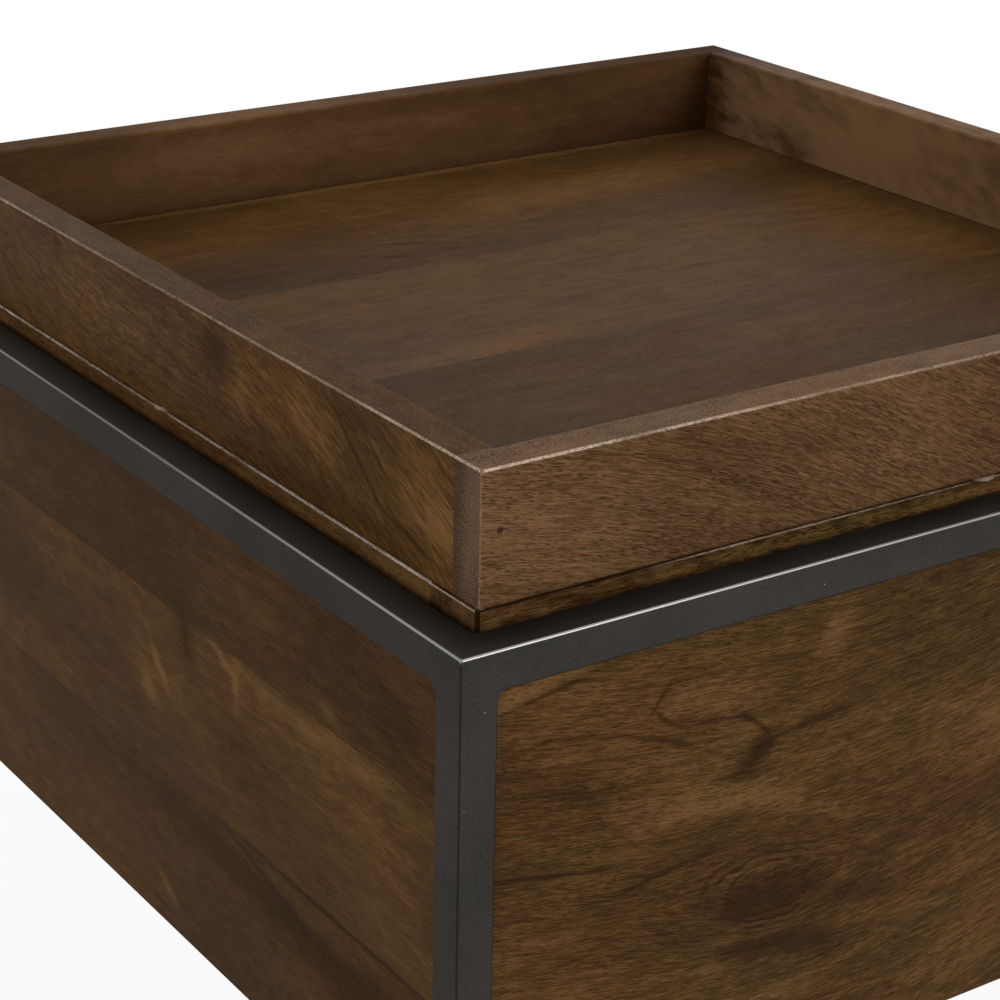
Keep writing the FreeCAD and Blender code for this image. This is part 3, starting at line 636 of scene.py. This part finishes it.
def coated_steel(name):
    """The frame's dark satin coat, with fine grit and faint clouds.

    The ring's upper arrises are pale, partly from burnish and partly as a painted highlight
    that is stronger near the corners. The ring's top is paler as painted light from above,
    less so beside the inset top as painted shade, and the upright corners are darkened as
    painted shade.
    """
    material, net, shader = new_material(name)
    coordinates = net.node("ShaderNodeTexCoord").outputs
    place = coordinates["Object"]
    normal = coordinates["Normal"]
    low, high = span(RING)
    arris = net.group(ARRIS, vector=place, facing=normal, low=low, high=high, width=RING_ARRIS)
    start, end = (high[2] - drop for drop in UPPER_ARRIS)
    upper = net.soft_step(net.split(place)[2], start, end)
    along = net.soft_step(arris["Corner"], *BURNISH_AND_HIGHLIGHT_CORNER_STEP)
    burnish_and_highlight = net.product(arris["Mask"], upper, along)
    clouds = net.noise(place, COAT_CLOUD, 3.0)[0]
    grit = net.noise(place, GRIT)[0]
    colour = net.mix(net.soft_step(clouds, *EVEN_STEP), *COAT)
    colour = net.tint(colour, net.soft_step(grit, *COAT_GRIT_STEP), 0.4, COAT_GRIT)
    # Painted light on the ring's top, dimmer beside the inset top as painted shade.
    level = net.soft_step(net.split(normal)[2], *LEDGE_STEP)
    colour = net.tint(colour, level, net.soft_step(arris["Inset"], *LEDGE_FADE_STEP), LEDGE_TOP_LIGHT)
    # Pale upper arrises: partly burnish, partly a painted highlight stronger near the corners.
    colour = net.tint(colour, burnish_and_highlight, 0.85, BURNISH_AND_HIGHLIGHT)
    colour = net.tint(colour, net.soft_step(arris["Diagonal"], *TURNED_STEP), 0.65, TURNED_SHADE)
    dust = net.group(SPECKS, vector=place, cell=0.008, size=0.035, share=0.2)["Mask"]
    net.feed(shader.inputs["Base Color"], net.tint(colour, dust, 0.6, PALE_SPECK))
    shader.inputs["Metallic"].default_value = 1.0
    shader.inputs["Specular Tint"].default_value = STEEL_EDGE
    rough = net.math("MULTIPLY_ADD", clouds, 0.1, 0.33)
    rough = net.math("MULTIPLY_ADD", burnish_and_highlight, -0.1, rough)
    net.feed(shader.inputs["Roughness"], net.math("MULTIPLY_ADD", grit, 0.08, rough))
    net.bump(shader, grit, strength=0.25, depth=0.05)
    finish_with(name, material)


# Small parts.
STUFF_PATCH = 90.0
STUFF_GRAIN = 1200.0
STUFF_STEP = (0.35, 0.65)


def plain_stuff(label, names, first, second, rough, metal=0.0, gloss=0.5):
    """A small part's plastic, steel or filler: two tones mottled by noise, with a fine grain."""
    material, net, shader = new_material(label)
    place = net.node("ShaderNodeTexCoord").outputs["Object"]
    wide = net.noise(place, STUFF_PATCH, 3.0)[0]
    fine = net.noise(place, STUFF_GRAIN)[0]
    tones = net.soft_step(net.math("MULTIPLY", net.math("ADD", wide, fine), 0.5), *STUFF_STEP)
    net.feed(shader.inputs["Base Color"], net.mix(tones, first, second))
    net.feed(shader.inputs["Roughness"], net.math("MULTIPLY_ADD", fine, 0.2, rough - 0.1))
    shader.inputs["Metallic"].default_value = metal
    shader.inputs["Specular IOR Level"].default_value = gloss
    net.bump(shader, fine, strength=0.4, depth=0.03)
    for name in names:
        finish_with(name, material)


# Tray

# The front board's last mark is a painted shadow line along its lower edge, where the gap under
# the tray is in shade.
wood("tray_board_front", seed=1.0, stain="rosy", outside=RIM, wear_and_highlight=0.9, wear_and_highlight_tint=RUBBED_AND_HIGHLIGHT_PALE,
     tone=0.12, hue=0.12, rings=0.1, clouds=0.2, pores=0.75, fibre=0.45, mottle=0.08,
     slant=-0.36, sway=0.008, sway_start=-0.23, wander=0.003, depth=-0.10, height=0.55,
     marks=((-205, 580, 45, 22, -0.1, 0.14), (-100, 594, 60, 9, -0.1, -0.2),
            (20, 580, 110, 14, -0.3, -0.12), (0, 611, 600, 2.2, 0.0, 0.3),
            (0, 557.5, 600, 1.2, 0.0, -0.6)))
wood("tray_board_left", grain="y", seed=2.0, stain="amber", outside=RIM, wear_and_highlight=0.75,
     wear_and_highlight_tint=RUBBED_AND_HIGHLIGHT_PALE, tone=-0.08, rings=0.08, clouds=0.12, pores=0.3, fibre=0.4,
     slant=0.3, sway=0.014, sway_length=0.4, sway_start=-0.2, wander=0.006, depth=0.30,
     height=0.60, dive=0.15, mottle=0.09, hue=0.3, gloss=0.02,
     marks=((-54, 595, 10, 14, 0.0, -0.35), (-74, 587, 9, 8, 0.0, 0.35),
            (-128, 590, 16, 13, 0.2, 0.18), (-165, 585, 18, 1.2, 0.85, -0.4),
            (-196, 570, 14, 1.2, 0.25, -0.45), (-176, 592, 12, 1.0, 0.8, -0.25),
            (-218, 582, 20, 20, 0.3, 0.4), (-225, 563, 16, 5, 0.3, -0.1),
            (-105, 565, 50, 8, 0.0, -0.15), (-150, 604, 30, 4, 0.1, -0.15),
            (40, 588, 60, 14, 0.1, 0.15)))
# On the back board, the broad pale mark high on the left is a painted pool of light, and the long
# dark band low down and the dark mark at the right end are painted shade.
wood("tray_board_back", seed=3.0, stain="rosy", outside=RIM, wear_and_highlight=0.3, wander=0.008,
     tone=-0.16, clouds=0.22, fibre=0.12, pores=0.1, mottle=0.06, hue=0.2, depth=0.30,
     height=0.57, gloss=0.006,
     marks=((-60, 594, 140, 12, 0.0, 0.25), (150, 575, 60, 20, 0.1, -0.2),
            (0, 566, 600, 5, 0.0, -0.25), (-70, 611, 90, 2.2, 0.0, 0.45),
            (205, 611, 60, 2.2, 0.0, -0.3), (228, 580, 16, 60, 0.0, -0.3)))
# The right board's first two marks are painted shade in its inner corner with the back board.
wood("tray_board_right", grain="y", seed=4.0, stain="rosy", outside=RIM, wear_and_highlight=0.3, slant=0.25,
     wander=0.012, tone=0.6, clouds=0.5, fibre=0.15, pores=0.1, mottle=0.4, hue=0.2,
     depth=-0.30, height=0.60, gloss=0.015,
     marks=((228, 578, 20, 50, 0.0, -0.8), (236, 575, 26, 60, 0.0, -0.8),
            (168, 590, 15, 11, 0.0, 0.3), (120, 586, 34, 5, 0.27, 0.4),
            (125, 601, 24, 5, 0.27, -0.3), (142, 573, 22, 7, 0.1, -0.45),
            (70, 590, 30, 12, -0.3, 0.3), (120, 611, 200, 2.2, 0.0, -0.45)))
PLANK = {"grain": "level", "fibre": 0.16, "pores": 0.12, "mottle": 0.1, "rings": 0.08,
         "hue": 0.2, "depth": -0.62, "sheen": 0.38}
wood("tray_plank_1", seed=6.0, tone=0.0, clouds=0.15, height=0.05, **PLANK)
wood("tray_plank_2", seed=7.0, tone=-0.06, clouds=0.12, height=0.10,
     marks=((41, -72, 45, 16, 0.0, 0.12), (-150, -52, 80, 16, 0.0, -0.14),
            (-120, -110, 50, 10, 0.0, 0.06)),
     **PLANK)
wood("tray_plank_3", seed=8.0, tone=0.04, clouds=0.12, height=0.15,
     marks=((-105, -34, 50, 9, 0.05, 0.22), (-31, 5, 14, 8, 0.0, -0.12),
            (80, 30, 60, 14, 0.0, 0.04), (-60, 72, 90, 12, 0.0, 0.08)),
     **PLANK)
# The last mark of this plank is a painted reflection, a pale line along its joint with the back
# board.
wood("tray_plank_4", seed=9.0, tone=-0.06, clouds=0.2, height=0.20,
     steps=((0, -0.052, 0.07),),
     marks=((-170, 104, 60, 22, 0.0, -0.2), (60, 150, 90, 20, 0.0, 0.12),
            (-60, 100, 22, 1.8, -0.5, -0.25), (-42, 114, 22, 1.8, -0.5, -0.25),
            (-20, 96, 26, 4, -0.2, -0.15), (-20, 219, 260, 3.5, 0.0, 0.35)),
     **PLANK)

# Box

wood("panel_front", seed=11.0, tone=0.03, rings=0.12, clouds=0.22, pores=0.5, fibre=0.4,
     wander=0.004, depth=-0.20, height=0.44, dive=0.05, ring=0.0045, sway=0.017,
     sway_length=0.56, sway_start=0.06, mottle=0.12,
     knots=((-109, 415, 31, 15, -0.07, 1.0),),
     marks=((-115, 411, 24, 9, -0.05, -0.5), (-108, 424, 22, 4, 0.0, 0.15),
            (-130, 460, 42, 6, -0.2, 0.4, -0.004), (-118, 478, 5.5, 5, 0.3, -0.6),
            (-126, 472, 10, 5, 0.4, -0.3), (-148, 496, 18, 1.4, -0.18, -0.38, 0.004),
            (-124, 490, 8, 1.6, -0.7, -0.45, -0.03), (-168, 511, 5, 1.4, 1.2, -0.35),
            (-153, 515.5, 13, 1.3, -0.1, -0.28), (-167, 503, 5.5, 1.4, -0.85, -0.4),
            (-92, 482.5, 20, 1.3, 0.08, -0.45, -0.002), (-145, 505, 22, 6, 0.0, 0.16),
            (-85, 465, 26, 26, 0.0, 0.12), (-234, 529, 10, 4.5, 0.1, 0.5),
            (-216, 531, 16, 2.6, 0.12, 0.45), (-214, 526.8, 26, 0.9, 0.155, -0.35),
            (-85, 517, 8, 12, 0.0, 0.35), (-185, 500, 40, 1.2, -0.3, -0.3, -0.003),
            (-216, 452, 30, 1.2, -0.2, -0.4), (-165, 437, 30, 1.2, 0.12, -0.4),
            (-110, 389, 34, 6, -0.2, -0.5), (-70, 398, 20, 6, -0.2, -0.3),
            (-130, 396, 16, 3, -0.2, 0.25), (-100, 365, 40, 5, 0.1, 0.2),
            (-205, 482, 26, 8, -0.2, -0.2), (60, 470, 70, 16, 0.2, 0.2),
            (150, 420, 60, 14, 0.1, -0.2)))
# The left panel's pale pore colour is a painted highlight on its pores.
wood("panel_left", grain="y", seed=12.0, tone=-0.16, rings=0.1, clouds=0.22, pores=0.14,
     fibre=0.27, wander=0.008, depth=0.20, height=0.45, mottle=0.12, hue=0.45, gloss=0.012,
     boards=(0.0815, 0.4015, 0.0), pore_highlight=paint(112, 88, 66),
     steps=((2, 0.4015, 0.1), (2, 0.483, -0.18)),
     marks=((-25, 452, 9, 4, 1.1, 0.4), (-14, 440, 8, 10, 0.8, 0.25),
            (-83, 477, 10, 2.5, 0.45, 0.4), (-92, 469, 3, 10, 0.0, 0.35),
            (-49, 474, 7, 12, 0.4, -0.35), (-150, 477, 80, 5, 0.04, 0.24),
            (-160, 462, 50, 8, 0.1, 0.1), (-166, 489, 12, 4, 0.3, 0.3),
            (-205, 445, 26, 24, 0.1, 0.15), (-100, 512, 60, 10, 0.0, 0.12),
            (-215, 505, 26, 12, 0.2, -0.2), (-100, 440, 34, 18, 0.2, -0.2),
            (-100, 386, 100, 7, 0.05, -0.35), (-180, 378, 46, 12, 0.0, -0.45),
            (-26, 346, 10, 3, 0.6, 0.35), (-210, 415, 40, 10, 0.0, 0.12),
            (-150, 402, 80, 1.2, 0.02, -0.5), (-120, 392, 40, 1.4, 0.25, -0.4),
            (120, 440, 60, 20, 0.1, -0.2), (150, 500, 60, 12, 0.0, 0.2)))
wood("panel_back", seed=13.0, rings=0.25, clouds=0.3, wander=0.012, depth=0.2, height=0.42,
     boards=(0.103, 0.43, 0.2),
     marks=((80, 470, 60, 14, 0.1, 0.3), (-120, 400, 70, 16, 0.0, -0.25)))
wood("panel_right", grain="y", seed=14.0, rings=0.25, clouds=0.3, wander=0.012, depth=-0.2,
     height=0.40, boards=(0.09, 0.42, 0.15),
     knots=((80, 452, 26, 15, 0.1, 2.0),),
     marks=((-100, 480, 60, 12, 0.1, 0.3), (60, 380, 60, 14, 0.0, -0.25)))
# The front and back edging's mark is painted shade along its lower border beside the ledge.
for number, side in enumerate(("front", "back")):
    wood(f"top_edging_{side}", seed=15.0 + number, tone=0.1, clouds=0.3, mottle=0.5, fibre=0.5,
         pores=0.8, hue=0.9, wear_and_highlight=0.9, wear_and_highlight_tint=RUBBED_AND_HIGHLIGHT_PALE, tray_shade_fade=(-0.175, -0.11),
         outside=TOP, chamfer=0.8, end=0.3,
         marks=((0, 543, 600, 4, 0.0, -0.5),))
# The side edging's marks are painted highlights near the corners.
for number, side in enumerate(("left", "right")):
    wood(f"top_edging_{side}", grain="y", seed=17.0 + number, clouds=0.3, wear_and_highlight=1.0,
         wear_and_highlight_tint=EDGING_WEAR_AND_HIGHLIGHT, outside=TOP, chamfer=0.8,
         marks=((-200, 553, 40, 8, 0.0, 0.4), (200, 553, 40, 8, 0.0, 0.4)))
wood("top_infill", seed=19.0, grain="level", clouds=0.3)
wood("bottom_board", seed=20.0, grain="level", pores=0.4)
for number, name in enumerate(sorted(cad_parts)):
    if name.startswith("cleat_") and name != "cleat_screws":
        wood(name, seed=21.0 + number, stain="sawn", grain="x", sheen=0.6)
    if name.startswith("ledger_") and name != "ledger_screws":
        way = "x" if name.endswith(("front", "back")) else "y"
        wood(name, seed=31.0 + number, stain="sawn", grain=way, sheen=0.6)

# Frame and small parts

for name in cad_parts:
    if name.startswith(("rail_", "leg_", "corner_plate_")):
        coated_steel(name)
glides = [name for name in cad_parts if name.startswith("glide_")]
plain_stuff("glide_plastic", glides, paint(24, 24, 25), paint(36, 36, 37), 0.55)
plain_stuff("zinc_screws", ["cleat_screws", "ledger_screws", "top_screws", "plate_screws"],
            paint(150, 146, 132), paint(188, 184, 170), 0.35, metal=1.0)
plain_stuff("nail_steel", ["tray_nails"], paint(140, 140, 138), paint(178, 178, 175), 0.4,
            metal=1.0)
plain_stuff("plug_filler", ["tray_plugs"], paint(44, 29, 18), paint(64, 44, 29), 0.7,
            gloss=0.05)
plain_stuff("pad_rubber", ["tray_pads"], paint(116, 92, 70), paint(144, 118, 92), 0.5)


# Stage, light and camera

FLOOR_REACH = 8.0
FLOOR_TINT = (0.82, 0.82, 0.81, 1.0)
FLOOR_GLOW_STEP = (0.4, 1.5, 0.9, 1.0)
WHITE = (1.0, 1.0, 1.0, 1.0)
WORLD_FILL = 0.4


def background_rays(net):
    """One where the camera sees a surface, itself or in a reflection or through glass."""
    rays = net.node("ShaderNodeLightPath").outputs
    mirrored = net.math("MAXIMUM", rays["Is Glossy Ray"], rays["Is Transmission Ray"])
    return net.math("MAXIMUM", rays["Is Camera Ray"], mirrored)


def floor():
    """A wide pale floor, lit by the lamps and lifted towards white where the camera sees it."""
    mesh = bpy.data.meshes.new("floor")
    square = ((-1, -1), (1, -1), (1, 1), (-1, 1))
    corners = [(x * FLOOR_REACH, y * FLOOR_REACH, 0.0) for x, y in square]
    mesh.from_pydata(corners, [], [(0, 1, 2, 3)])
    thing = bpy.data.objects.new("floor", mesh)
    bpy.context.scene.collection.objects.link(thing)
    material, net, shader = new_material("pale_floor")
    shader.inputs["Base Color"].default_value = FLOOR_TINT
    shader.inputs["Roughness"].default_value = 0.9
    glow = net.node("ShaderNodeEmission", {"Color": WHITE, "Strength": 1.0})
    away = net.vector("LENGTH", net.node("ShaderNodeTexCoord").outputs["Object"])
    lift = net.soft_step(away, *FLOOR_GLOW_STEP)
    seen = net.math("MULTIPLY", background_rays(net), lift)
    blend = net.node("ShaderNodeMixShader", {0: seen, 1: shader.outputs[0], 2: glow.outputs[0]})
    net.feed(material.node_tree.nodes["Material Output"].inputs["Surface"], blend.outputs[0])
    mesh.materials.append(material)


def surroundings(fill):
    """The world: white to the camera and in reflections, and weaker as light."""
    world = bpy.data.worlds.new("studio")
    bpy.context.scene.world = world
    world.use_nodes = True
    net = Net(world.node_tree)
    strength = net.math("MAXIMUM", background_rays(net), fill)
    shell = world.node_tree.nodes["Background"]
    shell.inputs["Color"].default_value = WHITE
    net.feed(shell.inputs["Strength"], strength)


def softbox(label, place, aim, size, watts):
    """A square area lamp at a place, facing a point."""
    lamp = bpy.data.lights.new(label, "AREA")
    lamp.shape = "SQUARE"
    lamp.size = size
    lamp.energy = watts
    thing = bpy.data.objects.new(label, lamp)
    thing.location = place
    thing.rotation_euler = (Vector(aim) - Vector(place)).to_track_quat("-Z", "Y").to_euler()
    bpy.context.scene.collection.objects.link(thing)


# The photograph's camera, in pixels, metres and degrees.
FOCAL_PIXELS = 2629.5
FRAME_PIXELS = 1000
EYE = (-0.70044, -0.92298, 0.93624)
YAW = -34.52
PITCH = -22.27
ROLL = 1.146


def camera():
    """The photograph's camera, from vertical and level edges measured on the table."""
    lens = bpy.data.cameras.new("camera")
    lens.lens = FOCAL_PIXELS / FRAME_PIXELS * lens.sensor_width
    thing = bpy.data.objects.new("camera", lens)
    bpy.context.scene.collection.objects.link(thing)
    heading = Matrix.Rotation(math.radians(YAW), 4, "Z")
    tilt = Matrix.Rotation(math.radians(90 + PITCH), 4, "X")
    roll = Matrix.Rotation(math.radians(ROLL), 4, "Z")
    thing.matrix_world = Matrix.Translation(EYE) @ heading @ tilt @ roll
    bpy.context.scene.camera = thing


floor()
surroundings(WORLD_FILL)
aim = (0.0, 0.0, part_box("rail_front")[0].z)
softbox("key", (1.3, -2.4, 1.6), aim, 1.6, 42.0)
softbox("left_fill", (-2.5, -0.7, 1.2), aim, 1.6, 23.0)
softbox("overhead", (0.35, 0.2, 1.9), aim, 1.5, 6.0)
camera()
bpy.context.scene.view_settings.view_transform = "Standard"
